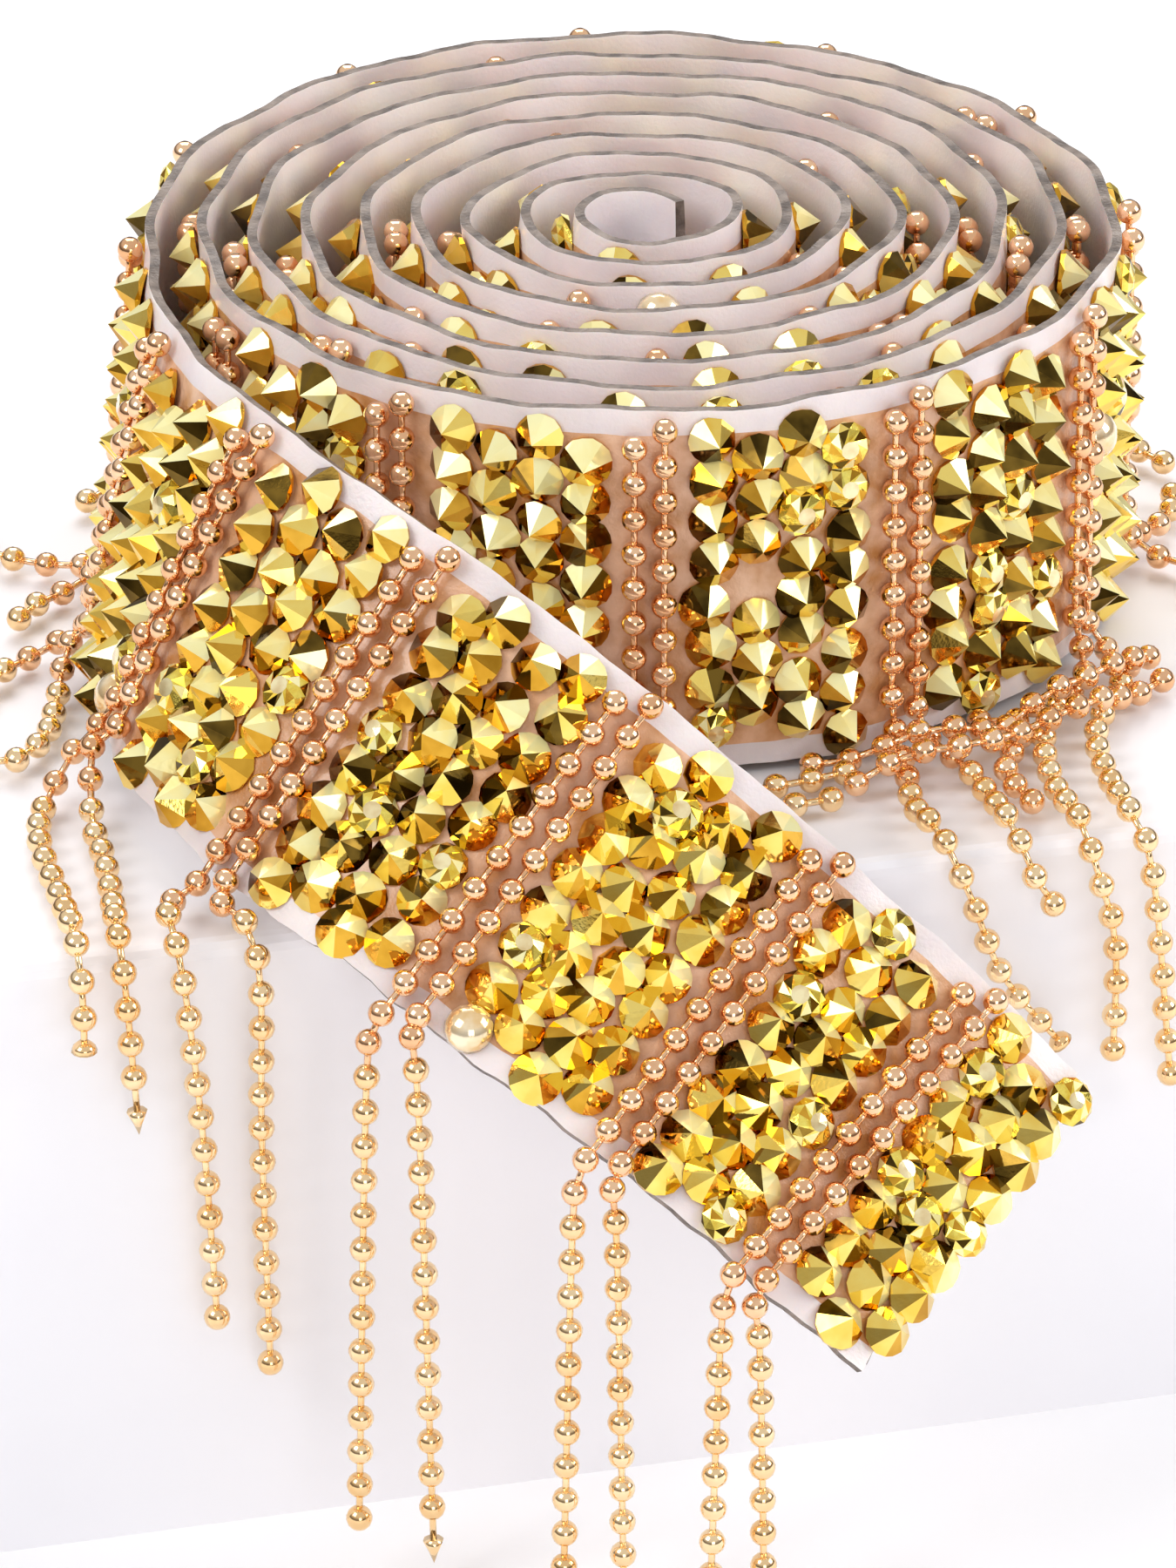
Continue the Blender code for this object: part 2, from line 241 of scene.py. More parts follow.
@dataclass(frozen=True)
class Finishes:
    """All finishes of the part."""

    # The bed between the stones: peach glue, darkened to orange-brown by painted shade and painted reflection
    # of the gold stones.
    glue: Finish = Finish(
        "peach_glue_painted_shade", (0.84, 0.52, 0.33), (0.56, 0.25, 0.08), 0.3, patch=230, relief=0.5, coat=0.4)
    film: Finish = Finish(
        "milky_film", (0.88, 0.8, 0.79), (0.77, 0.7, 0.71), 0.28, patch=110, relief=0.25, glow=0.3)
    edge: Finish = Finish(
        "cut_film_edge", (0.25, 0.19, 0.15), (0.08, 0.055, 0.04), 0.35, patch=420, relief=0.6, coat=0.1)
    # Cream facets: a painted highlight, a pale copy of the gold that stands in for reflected lamp light.
    cream: Finish = Finish(
        "painted_highlight_facet", (1.0, 0.95, 0.5), (1.0, 0.86, 0.33), 0.12, 0.3, patch=240, relief=0.02)
    gold: Finish = Finish(
        "gold_facet", (1.0, 0.77, 0.2), (0.95, 0.62, 0.1), 0.06, 1.0, patch=240, relief=0.02)
    # Deep gold facets and rims: painted shade, a darker copy of the gold.
    amber: Finish = Finish(
        "painted_shade_gold_facet", (0.8, 0.44, 0.05), (0.55, 0.27, 0.02), 0.06, 1.0, patch=240, relief=0.02)
    # Near-black facets: a painted dark reflection, a shaded copy of the gold.
    dark: Finish = Finish(
        "painted_dark_reflection_facet", (0.2, 0.12, 0.02), (0.05, 0.03, 0.006), 0.08, 1.0, patch=240, relief=0.02)
    crystal: Finish = Finish(
        "lemon_crystal", (1.0, 0.84, 0.16), (0.85, 0.55, 0.03), 0.06, 0.85, patch=700, relief=0.08, coat=0.5)
    # The crystal's table: a paler copy of the lemon crystal, a painted highlight.
    table: Finish = Finish(
        "crystal_table", (1.0, 0.88, 0.5), (0.75, 0.55, 0.25), 0.08, 0.6, patch=500, relief=0.03, coat=1.0)
    pearl: Finish = Finish(
        "gold_pearl", (1.0, 0.86, 0.6), (0.85, 0.58, 0.26), 0.12, 0.6, patch=420, relief=0.03, coat=1.0)
    copper: Finish = Finish(
        "copper_bead", (1.0, 0.66, 0.4), (0.84, 0.46, 0.23), 0.11, 1.0, patch=180, relief=0.04)
    brass: Finish = Finish(
        "pale_gold_bead", (1.0, 0.76, 0.45), (0.92, 0.6, 0.28), 0.12, 1.0, patch=180, relief=0.04)
    board: Finish = Finish(
        "white_board", (0.96, 0.95, 0.98), (0.92, 0.91, 0.95), 0.5, patch=14, grain=900, relief=0.05)
    floor: Finish = Finish(
        "pale_floor", (0.95, 0.95, 0.96), (0.93, 0.93, 0.94), 0.6, patch=3, grain=200, relief=0.02)


@dataclass
class RibbonPath:
    """The ribbon's way: a spiral from the middle of the roll outwards, then the free end."""

    block_depth: float = 128 * MM
    block_height: float = 62 * MM
    front_edge_to_roll: float = 65 * MM
    roll_x: float = 9 * MM
    film_width: float = 38 * MM
    roll_turned: float = math.radians(-14.6)
    roll_lift: float = 0.8 * MM
    outer_radius: float = 48.2 * MM
    turn_pitch: float = 5.2 * MM
    turn_start: float = -8.4
    turn_leave: float = -0.026
    small_turn: float = 0.002
    inner_squeeze: float = 0.9
    round_from: float = 2 / 3
    inner_shift: float = 2.5 * MM
    wave_height: float = 0.35 * MM
    waves_per_turn: float = 3.3
    measured_steps_per_turn: int = 24
    steps_per_turn: int = 160
    steps_per_section: int = 20
    sections: tuple[TailSection, ...] = (
        TailSection(26, 13, 8, 3),
        TailSection(26, 21, 12, 3),
        TailSection(26, 28, 19, -1),
        TailSection(26, 26, 19, 0),
        TailSection(26, 11, 8, 2),
        TailSection(26, 6, 3, -3),
    )
    runs: np.ndarray = field(init=False)
    frames: np.ndarray = field(init=False)

    def __post_init__(self) -> None:
        """Walks the whole ribbon once and keeps its stations."""
        roll_runs, roll_frames = self._roll()
        tail_runs, tail_frames = self._tail()
        self.runs = np.concatenate((roll_runs, tail_runs))
        self.frames = np.concatenate((roll_frames, tail_frames))

    @property
    def roll_centre(self) -> np.ndarray:
        """The roll's centre on the block's top."""
        return np.array((self.roll_x, self.front_edge_to_roll - self.block_depth / 2, self.block_height))

    @property
    def first_run(self) -> float:
        """The run at which the ribbon starts, in the middle of the roll."""
        return float(self.runs[0])

    @property
    def last_run(self) -> float:
        """The run of the free end's tip."""
        return float(self.runs[-1])

    @property
    def length(self) -> float:
        """The ribbon's whole length."""
        return self.last_run - self.first_run

    def on_block(self, x: float, y: float, z: float) -> np.ndarray:
        """Gives a point from its distances in mm from the roll's centre on the block's top."""
        return self.roll_centre + np.array((x, y, z)) * MM

    def _spiral_point(self, turn: float) -> np.ndarray:
        """Gives the middle of the film on the roll.

        Args:
            turn: The turn, nought where the outer turn would close.

        Returns:
            The point.
        """
        grown = (turn - self.turn_start) / (self.turn_leave - self.turn_start)
        radius = self.outer_radius + self.turn_pitch * turn
        radius += self.wave_height * grown * math.sin(2 * math.pi * self.waves_per_turn * turn)
        squeeze = min(1.0, self.inner_squeeze + (1 - self.inner_squeeze) * grown / self.round_from)
        angle = math.pi + 2 * math.pi * turn
        x = radius * math.cos(angle)
        y = radius * math.sin(angle) * squeeze + self.inner_shift * (1 - grown)
        cos_turned, sin_turned = math.cos(self.roll_turned), math.sin(self.roll_turned)
        flat = np.array((x * cos_turned - y * sin_turned, x * sin_turned + y * cos_turned, 0.0))
        return self.roll_centre + flat + np.array((0.0, 0.0, self.film_width / 2 + self.roll_lift))

    def _spiral_frame(self, turn: float) -> np.ndarray:
        """Finds how the film stands on the roll.

        Args:
            turn: The turn, nought where the outer turn would close.

        Returns:
            The centre, running, outward and downward directions, as rows.
        """
        ahead = self._spiral_point(turn + self.small_turn)
        behind = self._spiral_point(turn - self.small_turn)
        along = unit(ahead - behind)
        down = np.array((0.0, 0.0, -1.0))
        return np.stack((self._spiral_point(turn), along, np.cross(down, along), down))

    def _roll(self) -> tuple[np.ndarray, np.ndarray]:
        """Walks the roll.

        Returns:
            The runs, which end at nought where the free end leaves, and their frames.
        """
        turns = self.turn_leave - self.turn_start
        coarse, fine = (np.linspace(self.turn_start, self.turn_leave, round(turns * steps) + 1)
                        for steps in (self.measured_steps_per_turn, self.steps_per_turn))
        points = np.array([self._spiral_point(turn) for turn in coarse])
        lengths = np.linalg.norm(np.diff(points, axis=0), axis=1)
        coarse_runs = np.concatenate(((0.0,), np.cumsum(lengths))) - lengths.sum()
        frames = np.array([self._spiral_frame(turn) for turn in fine])
        return np.interp(fine, coarse, coarse_runs), frames

    def _section_value(self, column: str, run: float) -> float:
        """Reads a column of the free end's table, eased between the middles of its sections.

        Args:
            column: The column's name.
            run: Distance along the free end in mm.

        Returns:
            The value at that run.
        """
        starts = np.cumsum([0.0] + [section.run for section in self.sections[:-1]])
        middles = [start + section.run / 2 for start, section in zip(starts, self.sections)]
        return float(np.interp(run, middles, [getattr(section, column) for section in self.sections]))

    @staticmethod
    def _turned(first: np.ndarray, second: np.ndarray, degrees: float) -> tuple[np.ndarray, np.ndarray]:
        """Turns two directions in their common plane.

        Args:
            first: The direction that turns away from the second.
            second: The direction that turns towards the first.
            degrees: The angle.

        Returns:
            Both directions after the turn.
        """
        cos, sin = math.cos(math.radians(degrees)), math.sin(math.radians(degrees))
        return first * cos - second * sin, second * cos + first * sin

    def _tail(self) -> tuple[np.ndarray, np.ndarray]:
        """Walks the free end, each frame found from the one before.

        Returns:
            The runs and their frames.
        """
        section = self.sections[0].run
        length = section / self.steps_per_section
        share = length / section
        centre, along, outward, down = self._spiral_frame(self.turn_leave)
        runs, frames = [], []
        for index in range(len(self.sections) * self.steps_per_section):
            middle = (index + 0.5) * length
            started = along
            along, outward = self._turned(along, outward, self._section_value("bend", middle) * share)
            centre = centre + (along + started) / 2 * length * MM
            outward, down = self._turned(outward, down, self._section_value("twist", middle) * share)
            along, down = self._turned(along, down, self._section_value("rise", middle) * share)
            runs.append((index + 1) * length * MM)
            frames.append(np.stack((centre, along, outward, down)))
        return np.array(runs), np.array(frames)

    def at(self, run: float) -> Station:
        """Finds the station at a run.

        Args:
            run: Distance along the ribbon in metres, nought where the free end leaves the roll.

        Returns:
            The station, blended between its neighbours.
        """
        index = int(np.clip(np.searchsorted(self.runs, run), 1, len(self.runs) - 1))
        share = (run - self.runs[index - 1]) / (self.runs[index] - self.runs[index - 1])
        frame = self.frames[index - 1] * (1 - share) + self.frames[index] * share
        return Station(frame[0], unit(frame[1]), unit(frame[2]), unit(frame[3]))


class Shape(NamedTuple):
    """A small solid in its own axes: points, faces and the slot of each face."""

    points: np.ndarray
    faces: list[tuple[int, ...]]
    slots: list[int]


@dataclass
class MeshPool:
    """Gathers many small shapes into one mesh."""

    points: list[np.ndarray] = field(default_factory=list)
    faces: list[tuple[int, ...]] = field(default_factory=list)
    slots: list[int] = field(default_factory=list)
    count: int = 0

    def add(self, shape: Shape) -> None:
        """Adds a shape.

        Args:
            shape: The shape, where it stands.
        """
        start = self.count
        self.points.append(shape.points)
        self.faces.extend(tuple(start + index for index in face) for face in shape.faces)
        self.slots.extend(int(slot) for slot in shape.slots)
        self.count += len(shape.points)

    def build(self, name: str, materials: list[bpy.types.Material], smooth: bool,
              rounded_slot: int = -1) -> bpy.types.Object:
        """Makes the object.

        Args:
            name: The piece's name.
            materials: The materials in the order of the slots.
            smooth: Whether its faces are shaded smooth.
            rounded_slot: A slot whose faces are shaded smooth in any case.

        Returns:
            The new object, linked to the scene.
        """
        mesh = bpy.data.meshes.new(name)
        mesh.from_pydata(np.concatenate(self.points).tolist(), [], self.faces)
        for material in materials:
            mesh.materials.append(material)
        mesh.polygons.foreach_set("material_index", self.slots)
        mesh.polygons.foreach_set("use_smooth", [smooth or slot == rounded_slot for slot in self.slots])
        mesh.validate()
        piece = bpy.data.objects.new(name, mesh)
        bpy.context.collection.objects.link(piece)
        return piece


def stacked_rings(rings: list[Triple], sides: int, slot_rows: list[int], tip: float) -> Shape:
    """Builds a closed solid from rings round Z, with a flat bottom and a point at its top.

    Args:
        rings: For each ring from the bottom, its radius, height and turn in sides.
        sides: Number of sides.
        slot_rows: The slot of each band between rings, then of the tip's fan.
        tip: Height of the tip, or of the flat top when it is the last ring's height.

    Returns:
        The solid.
    """
    points = []
    for radius, height, turned in rings:
        for side in range(sides):
            angle = 2 * math.pi * (side + turned) / sides
            points.append((radius * math.cos(angle), radius * math.sin(angle), height))
    points.append((0.0, 0.0, tip))
    faces: list[tuple[int, ...]] = [tuple(reversed(range(sides)))]
    slots = [slot_rows[0]]
    for band in range(len(rings) - 1):
        low, high = band * sides, (band + 1) * sides
        for side in range(sides):
            following = (side + 1) % sides
            faces.append((low + side, low + following, high + following))
            faces.append((low + side, high + following, high + side))
            slots.extend((slot_rows[band],) * 2)
    top = (len(rings) - 1) * sides
    for side in range(sides):
        faces.append((top + side, top + (side + 1) % sides, len(points) - 1))
        slots.append(slot_rows[-1])
    return Shape(np.array(points), faces, slots)


def ball(radius: float, segments: int, rings: int) -> Shape:
    """Builds a ball with its poles on Z.

    Args:
        radius: Its radius.
        segments: Number of sides round it.
        rings: Number of bands from pole to pole.

    Returns:
        The ball.
    """
    bands = []
    for ring in range(1, rings):
        angle = math.pi * ring / rings
        bands.append((radius * math.sin(angle), -radius * math.cos(angle), 0.0))
    return stacked_rings(bands, segments, [0] * len(bands), radius * math.cos(math.pi / rings / 2))


@dataclass
class FilmSheet:
    """The glue film: a peach glue bed, darkened by painted shade and painted reflection between the stones,
    between milky margins, with uneven cut edges.
    """

    path: RibbonPath
    finishes: Finishes
    inner_height: float = -0.55 * MM
    bed_height: float = 0.5 * MM
    margin_height: float = 0.42 * MM
    margin_share: float = 0.87
    edge_wander: float = 0.45 * MM
    tail_wander: float = 0.9 * MM
    tail_wander_from: float = 30 * MM
    edge_curl: float = 0.35 * MM
    curl_pace: float = 0.33
    end_wander: float = 1.3 * MM
    end_reach: float = 6.0 * MM
    end_seed: float = 4.0
    ring_step: float = 1.1 * MM
    sharp_angle: float = math.radians(50)
    columns: tuple[float, ...] = (-1.0, -0.96, -0.87, -0.5, 0.0, 0.5, 0.87, 0.96, 1.0)

    def _edge_reach(self, run: float, side: int) -> float:
        """Finds how far the film reaches from its middle.

        Args:
            run: Distance along the ribbon.
            side: 1 for the lower edge, -1 for the upper one.

        Returns:
            The distance to that edge.
        """
        on_tail = min(1.0, max(0.0, run / self.tail_wander_from))
        wander = self.edge_wander
        if side > 0:
            wander += (self.tail_wander - self.edge_wander) * on_tail
        return self.path.film_width / 2 + wander / 2 * (ripple(run, side) - 1)

    def _ring(self, run: float) -> np.ndarray:
        """Builds the film's cross-section at a run.

        Args:
            run: Distance along the ribbon.

        Returns:
            Its points, round from the outer face's top edge.
        """
        near_end = max(0.0, 1 - (self.path.last_run - run) / self.end_reach)
        outer, inner = [], []
        for share in self.columns:
            side = 1 if share > 0 else -1
            across = share * self._edge_reach(run, side)
            cut = run - near_end * self.end_wander * (1 + ripple(across, self.end_seed)) / 2
            station = self.path.at(cut)
            beyond = max(0.0, (abs(share) - self.margin_share) / (1 - self.margin_share))
            curl = self.edge_curl * beyond * math.sin(run / MM * self.curl_pace + side)
            swell = self.bed_height * (1 - beyond) + self.margin_height * beyond
            outer.append(station.point(across, swell + curl))
            inner.append(station.point(across, self.inner_height + curl))
        return np.array(outer + inner[::-1])

    def _slots_round(self) -> list[FilmSlot]:
        """Gives the slot of each strip round the cross-section.

        Returns:
            The slots, from the outer face's top strip round to the upper cut edge.
        """
        outer = []
        for upper, lower in zip(self.columns, self.columns[1:]):
            bed = max(abs(upper), abs(lower)) <= self.margin_share
            outer.append(FilmSlot.GLUE if bed else FilmSlot.FILM)
        inner = [FilmSlot.FILM] * len(outer)
        return [*outer, FilmSlot.EDGE, *inner, FilmSlot.EDGE]

    def build(self) -> bpy.types.Object:
        """Builds the film as one closed sheet.

        Returns:
            The film.
        """
        slots_round = self._slots_round()
        around = len(slots_round)
        count = round(self.path.length / self.ring_step)
        runs = np.linspace(self.path.first_run, self.path.last_run, count + 1)
        rings = [self._ring(float(run)) for run in runs]
        faces: list[tuple[int, ...]] = [tuple(reversed(range(around)))]
        for ring in range(count):
            low, high = ring * around, (ring + 1) * around
            for index in range(around):
                following = (index + 1) % around
                faces.append((low + index, low + following, high + following, high + index))
        faces.append(tuple(count * around + index for index in range(around)))
        slots = [FilmSlot.EDGE, *slots_round * count, FilmSlot.EDGE]
        pool = MeshPool()
        pool.add(Shape(np.concatenate(rings), faces, slots))
        materials = [finish.make() for finish in (self.finishes.glue, self.finishes.film, self.finishes.edge)]
        film = pool.build("ribbon_film", materials, smooth=True)
        film.data.set_sharp_from_angle(angle=self.sharp_angle)
        return film


# Ways of the ends that lie on the block or hang over its front edge, by row and strand, as distances in
# mm from the roll's centre on the block's top.
LAID_ENDS: dict[str, dict[str, tuple[Triple, ...]]] = {
    "roll_1": {
        "ahead": ((-56, 8, 1.8), (-59.5, 6, 1.8), (-63, 2, 1.8)),
        "behind": ((-54.5, 13, 1.8), (-58, 14.5, 1.8), (-62, 18, 1.8), (-64.5, 23, 1.8)),
    },
    "tail_1": {
        "ahead": ((-62.5, -16, 1.9), (-65, -23, 1.9), (-69, -27.5, 1.9), (-73, -26, 1.9),
                  (-73.5, -19, 1.9)),
        "behind": ((-61.5, -5, 1.8), (-66, -8, 1.8), (-70, -13, 1.8)),
    },
    "tail_2": {
        "ahead": ((-64.5, -42, 2.2), (-65, -50, 2.0), (-66, -58, 1.9), (-67, -65, 2.6),
                  (-67, -68, -2), (-66, -68, -18)),
        "behind": ((-67.5, -36, 1.9), (-70, -44, 1.9), (-70.5, -56, 1.9), (-71, -65, 2.6),
                   (-71, -68, -2), (-71, -68, -10)),
    },
    "tail_3": {
        "ahead": ((-55.5, -65, 2.8), (-54.5, -68.5, -2), (-54.5, -68, -19), (-54, -68, -46)),
        "behind": ((-61.5, -61.5, 2.6), (-62, -65.5, 2.8), (-61.5, -68.5, -3), (-60, -68, -19),
                   (-59, -68, -39)),
    },
    "roll_8": {
        "ahead": ((39.5, -34.5, 1.8), (36, -40.5, 1.8), (32, -48, 1.8), (30.5, -57, 1.8),
                  (30, -65, 2.4), (31.5, -68, -3), (34, -68, -27)),
        "behind": ((34, -36.5, 1.8), (29.5, -42, 1.8), (26.5, -49, 1.8), (25, -58, 1.8),
                   (25, -65, 2.4), (26, -68, -2), (28, -68, -10), (28, -68, -23)),
    },
    "roll_9": {
        "ahead": ((18, -51, 1.8), (18.5, -58, 1.8), (18.5, -65, 2.4), (20, -68, -2),
                  (22.5, -68, -6)),
        "behind": ((12.5, -50, 1.8), (11, -58, 1.8), (11.5, -65, 2.4), (14, -68, -4),
                   (17, -68, -12), (23, -68, -20)),
    },
    "roll_10": {
        "ahead": ((-5, -50.5, 1.8), (1, -50.5, 1.8), (7, -49.5, 1.8)),
        "behind": ((-12, -50.5, 1.8), (-10, -55, 1.8), (-4, -55.5, 1.8), (3, -54.5, 1.8),
                   (7, -55.5, 1.8)),
    },
}

# Tips of the ends that hang free from the free end's lower edge.
HUNG_ENDS: dict[str, dict[str, Tip]] = {
    "tail_4": {"ahead": Tip(-60, 2.5, 0.5), "behind": Tip(-56, -2.5, 0.0)},
    "tail_5": {"ahead": Tip(-60, 2.0, 1.5), "behind": Tip(-60, -2.0, 0.0)},
    "tail_6": {"ahead": Tip(-60, 2.0, 2.0), "behind": Tip(-58, -1.5, 1.0)},
}

# Ways of the ends at the roll's back and side, as distances in mm along its foot and out from it.
TRAILING_ENDS: dict[str, tuple[tuple[float, float], ...]] = {
    "ahead": ((2.6, 4.4), (5.0, 6.8), (8.0, 8.6), (11.5, 9.6)),
    "behind": ((-2.6, 4.6), (-4.4, 7.6), (-6.4, 10.2), (-9.4, 11.2)),
}

# Ways of the strands that lie along the roll's foot, over the others, measured as the laid ends are.
HEAPED_ENDS: tuple[tuple[Triple, ...], ...] = (
    ((4, -47.4, 1.9), (9, -48, 2.4), (13, -48.4, 4.4), (18, -48.2, 4.5), (23.5, -45.6, 2.4),
     (28.5, -43, 4.3), (33, -40.8, 4.3), (37.5, -38.3, 4.4), (42, -34, 2.2)),
    ((7, -52.2, 1.9), (12, -52.2, 4.3), (18.5, -51.8, 4.4), (24, -49.6, 3.9), (28.5, -47.6, 4.3),
     (33, -45.2, 4.2), (38, -41, 1.9), (43, -37.5, 1.9)),
    ((22, -42.6, 1.9), (26, -44.2, 1.9), (21.5, -53, 1.9), (22, -60, 1.9)),
)

# Strands whose last bead isn't a whole one.
ODD_ENDS: dict[tuple[str, str], StrandEnd] = {
    ("tail_2", "ahead"): StrandEnd.SPIKE,
    ("tail_2", "behind"): StrandEnd.CUP,
    ("tail_4", "ahead"): StrandEnd.SPIKE,
    ("roll_9", "behind"): StrandEnd.CUP,
}


@dataclass
class ChainRoutes:
    """Where the chain pairs cross the ribbon and how their loose ends run, in mm as in the solids."""

    roll_rows: int = 11
    first_roll_run: float = 11.5
    roll_row_pitch: float = 24.5
    inner_row_room: float = 8.0
    tail_rows: tuple[ChainRow, ...] = (
        ChainRow("tail_1", 36, 29, False),
        ChainRow("tail_2", 57, 53, False),
        ChainRow("tail_3", 79, 79, True),
        ChainRow("tail_4", 101, 102, True),
        ChainRow("tail_5", 124, 124, True),
        ChainRow("tail_6", 143, 141, True),
    )
    laid_height: float = 1.8
    hang_bend: float = 6.0
    foot_clearance: float = 3.2
    edge_margin: float = 0.5
    step_out: float = 1.6
    step_down: float = 1.5
    step_over: float = 2.2
    trail_root: float = 0.6

    def rows(self) -> list[ChainRow]:
        """Lists the rows that have a solid of their own.

        Returns:
            The rows of the outer turn, then those of the free end.
        """
        rows = []
        for index in range(self.roll_rows):
            run = self.first_roll_run - self.roll_row_pitch * index
            rows.append(ChainRow(f"roll_{index + 1}", run, run, False))
        return rows + list(self.tail_rows)

    def inner_rows(self, first_run: float) -> list[ChainRow]:
        """Lists the rows of the inner turns, which have no solid.

        Args:
            first_run: The run in metres at which the ribbon starts.

        Returns:
            The rows.
        """
        rows = []
        run = self.first_roll_run - self.roll_row_pitch * self.roll_rows
        while run - self.inner_row_room > first_run / MM:
            rows.append(ChainRow(f"inner_{len(rows) + 1}", run, run, False))
            run -= self.roll_row_pitch
        return rows


def smooth_way(points: list[np.ndarray], step: float) -> list[np.ndarray]:
    """Reads points about one step apart from a curve through the given ones.

    Args:
        points: The points that the curve goes through.
        step: The distance between the points read.

    Returns:
        The points of the curve.
    """
    ends = [points[0] * 2 - points[1], *points, points[-1] * 2 - points[-2]]
    way = []
    for before, start, stop, after in zip(ends, ends[1:], ends[2:], ends[3:]):
        count = max(1, round(float(np.linalg.norm(stop - start)) / step))
        for index in range(count):
            share = index / count
            way.append(0.5 * (2 * start + (stop - before) * share
                              + (2 * before - 5 * start + 4 * stop - after) * share ** 2
                              + (3 * start - before - 3 * stop + after) * share ** 3))
    way.append(points[-1])
    return way


@dataclass
class BallChain:
    """Strings beads and their short links along a way."""

    path: RibbonPath
    routes: ChainRoutes
    finishes: Finishes
    bead_radius: float = 1.25 * MM
    bead_pitch: float = 3.6 * MM
    bead_sides: tuple[int, int] = (14, 9)
    inner_bead_sides: tuple[int, int] = (10, 7)
    strand_spacing: float = 2.7 * MM
    strand_wander: float = 0.3 * MM
    link_radius: float = 0.34 * MM
    link_sides: int = 6
    cup_angles: tuple[float, ...] = (0.5, 1.0, 1.45)
    cup_sides: int = 12
    cup_hollow: float = -0.35 * MM
    spike_rings: tuple[Triple, ...] = ((1.0 * MM, 0.0, 0.0), (0.5 * MM, 1.2 * MM, 0.0))
    spike_sides: int = 8
    spike_length: float = 2.6 * MM
    top_margin: float = 1.6 * MM
    ride_height: float = 1.95 * MM
    seat_steps: int = 8
    way_step: float = 1.0 * MM
    copper_share: float = 1.05
    upright: float = 0.9
    randomness: random.Random = field(default_factory=lambda: random.Random(11))

    def __post_init__(self) -> None:
        """Makes the shapes that repeat."""
        radius = self.bead_radius
        self.bead = ball(radius, *self.bead_sides)
        self.inner_bead = ball(radius, *self.inner_bead_sides)
        cup = [(radius * math.sin(angle), -radius * math.cos(angle), 0.0) for angle in self.cup_angles]
        self.ends = {
            StrandEnd.CUP: stacked_rings(cup, self.cup_sides, [0] * len(cup), self.cup_hollow),
            StrandEnd.SPIKE: stacked_rings(list(self.spike_rings), self.spike_sides, [0, 0],
                                           self.spike_length),
        }
        rod = [(self.link_radius, 0.0, 0.0), (self.link_radius, 1.0, 0.0)]
        self.link = stacked_rings(rod, self.link_sides, [0, 0], 1.0)

    def _place(self, pool: MeshPool, shape: Shape, spot: np.ndarray, aim: np.ndarray, slot: int,
               reach: float = 1.0) -> None:
        """Adds a shape.

        Args:
            pool: Where the shape goes.
            shape: The shape.
            spot: The place of its origin.
            aim: The direction of its Z.
            slot: The slot of its faces.
            reach: How far it is stretched along its Z.
        """
        helper = np.array((0.0, 0.0, 1.0)) if abs(aim[2]) < self.upright else np.array((1.0, 0.0, 0.0))
        side = unit(np.cross(helper, aim))
        axes = np.stack((side, np.cross(aim, side), aim * reach))
        pool.add(Shape(shape.points @ axes + spot, shape.faces, [slot] * len(shape.slots)))

    def _string(self, pool: MeshPool, way: list[np.ndarray], end: StrandEnd, bead: Shape,
                copper_length: float = math.inf) -> None:
        """Strings a strand.

        Args:
            pool: Where its shapes go.
            way: The strand's way.
            end: How its loose end finishes.
            bead: The bead's shape.
            copper_length: The length after which its beads are brass.
        """
        points = np.array(way)
        lengths = np.concatenate(((0.0,), np.cumsum(np.linalg.norm(np.diff(points, axis=0), axis=1))))
        total = float(lengths[-1])
        count = max(1, int(total / self.bead_pitch))
        spots = []
        for index in range(count + 1):
            distance = min(total, index * self.bead_pitch)
            spots.append(np.array([np.interp(distance, lengths, points[:, axis]) for axis in range(3)]))
        for index, spot in enumerate(spots):
            slot = ChainSlot.BRASS if index * self.bead_pitch > copper_length else ChainSlot.COPPER
            ahead = spots[min(index + 1, count)]
            behind = spots[max(index - 1, 0)]
            last = index == count
            shape = self.ends.get(end, bead) if last else bead
            self._place(pool, shape, spot, unit(ahead - behind), slot)
            if not last:
                gap = ahead - spot
                self._place(pool, self.link, spot, unit(gap), slot, float(np.linalg.norm(gap)))

    def _seat_way(self, row: ChainRow, lead: float, bottom: float, shift: float) -> list[np.ndarray]:
        """Finds a strand's way across the ribbon.

        Args:
            row: Where the pair crosses the ribbon.
            lead: How far the strand runs ahead of the pair's middle.
            bottom: Where the way ends, from the middle of the film.
            shift: How far under the top margin it starts.

        Returns:
            The points of the way.
        """
        way = []
        top = self.top_margin + shift - self.path.film_width / 2
        for index in range(self.seat_steps + 1):
            across = top + (bottom - top) * index / self.seat_steps
            share = across / self.path.film_width + 0.5
            run = (row.top_run * (1 - share) + row.low_run * share) * MM
            way.append(self.path.at(run + lead).point(across, self.ride_height))
        return way

